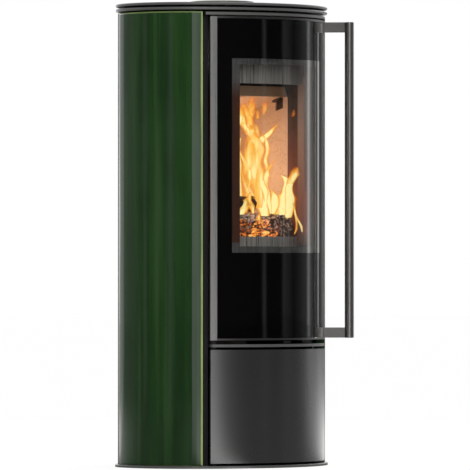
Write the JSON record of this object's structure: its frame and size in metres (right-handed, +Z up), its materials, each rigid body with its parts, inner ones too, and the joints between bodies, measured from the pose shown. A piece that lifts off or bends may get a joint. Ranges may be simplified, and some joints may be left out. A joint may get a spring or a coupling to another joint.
{
  "type": "tiled wood stove",
  "caption": "Oval wood stove with a tall curved glass door, bar handle, lower store door, stacked top plates and tall glazed ceramic side panels.",
  "frame": {"origin": "on the floor under the centre of the oval plan, in the underside of the base plate", "axes": "+Z up; -Y is the front, where the doors are; the door hinges are on the -X side and the handle on +X"},
  "size_m": [0.6156, 0.5094, 1.179],
  "materials": {
    "plate_enamel": "satin grey enamel",
    "carcass_paint": "matt black stove paint",
    "firebox_steel": "heat-darkened stove paint",
    "rear_sheet": "satin grey enamel",
    "lower_door_enamel": "satin metallic grey",
    "green_glaze": "gloss dark green glaze",
    "vermiculite": "matt pressed board",
    "cast_grate": "as cast",
    "brushed_profile": "brushed",
    "handle_steel": "satin",
    "ceramic_glass": "clear with a black printed border",
    "seal_fibre": "woven glass fibre",
    "zinc_steel": "zinc plated",
    "bush_bronze": "plain",
    "charred_wood": "burning split logs",
    "magnet_black": "plastic magnet housing"
  },
  "bodies": {
    "root": {"base_plate": "plate_enamel", "side_panel_left": "carcass_paint", "side_panel_right": "carcass_paint", "rear_panel": "carcass_paint", "front_posts": "carcass_paint", "rear_cover": "rear_sheet", "rear_cover_stays": "carcass_paint", "shelf_plate": "plate_enamel", "top_band": "plate_enamel", "plate_spacers": "zinc_steel", "under_plate": "plate_enamel", "top_plate": "plate_enamel", "flue_blank": "firebox_steel", "rear_flue_spigot": "firebox_steel", "air_inlet_spigot": "carcass_paint", "tile_left": "green_glaze", "tile_right": "green_glaze", "tile_brackets": "carcass_paint", "firebox_shell": "firebox_steel", "front_frame": "firebox_steel", "hearth_plate": "firebox_steel", "hearth_bricks": "vermiculite", "grate": "cast_grate", "log_guard": "brushed_profile", "lining_left": "vermiculite", "lining_right": "vermiculite", "lining_rear": "vermiculite", "lining_retainers": "firebox_steel", "baffle_supports": "firebox_steel", "baffle_lower": "vermiculite", "baffle_upper": "firebox_steel", "air_wash_deflector": "brushed_profile", "ash_pan": "zinc_steel", "firewood": "charred_wood", "hinge_pins": "firebox_steel", "catch_brackets": "zinc_steel", "magnet_catch": "magnet_black", "air_pivot_pin": "zinc_steel"},
    "door": {"door_frame": "firebox_steel", "door_stiles": "brushed_profile", "door_rails": "brushed_profile", "door_glass": "ceramic_glass", "glass_gasket": "seal_fibre", "door_gasket": "seal_fibre", "stile_screws": "zinc_steel", "hinge_bushes": "bush_bronze", "catch_plates": "zinc_steel", "handle_bar": "handle_steel", "handle_caps": "handle_steel", "handle_arms": "handle_steel", "handle_screws": "zinc_steel"},
    "lower_door": {"lower_door_panel": "lower_door_enamel", "lower_hinge_blocks": "zinc_steel", "magnet_plate": "zinc_steel"},
    "air_control": {"air_lever": "zinc_steel", "air_knob": "carcass_paint", "air_disc": "zinc_steel"},
    "flue_cover": {"flue_cover": "plate_enamel"},
    "catch_roller_lower": {"catch_roller_lower": "zinc_steel"},
    "catch_roller_upper": {"catch_roller_upper": "zinc_steel"}
  },
  "joints": [
    {"name": "door_swing", "type": "hinge", "parent": "root", "child": "door", "pos_m": [-0.19443, -0.15278, 0.32], "axis": [0, 0, -1], "range_deg": [0, 110]},
    {"name": "lower_door_swing", "type": "hinge", "parent": "root", "child": "lower_door", "pos_m": [-0.19443, -0.15278, 0.0125], "axis": [0, 0, -1], "range_deg": [0, 110]},
    {"name": "air_control_turn", "type": "hinge", "parent": "root", "child": "air_control", "pos_m": [0, 0.075, 0.314], "axis": [0, 0, 1], "range_deg": [-14, 14]},
    {"name": "cover_lift", "type": "slide", "parent": "root", "child": "flue_cover", "axis": [0, 0, 1], "range_m": [0, 0.1]},
    {"name": "catch_roller_lower_spin", "type": "hinge", "parent": "root", "child": "catch_roller_lower", "pos_m": [0.20467, -0.13623, 0.3805], "axis": [0, 0, 1], "continuous": true},
    {"name": "catch_roller_upper_spin", "type": "hinge", "parent": "root", "child": "catch_roller_upper", "pos_m": [0.20467, -0.13623, 1.0715], "axis": [0, 0, 1], "continuous": true}
  ]
}
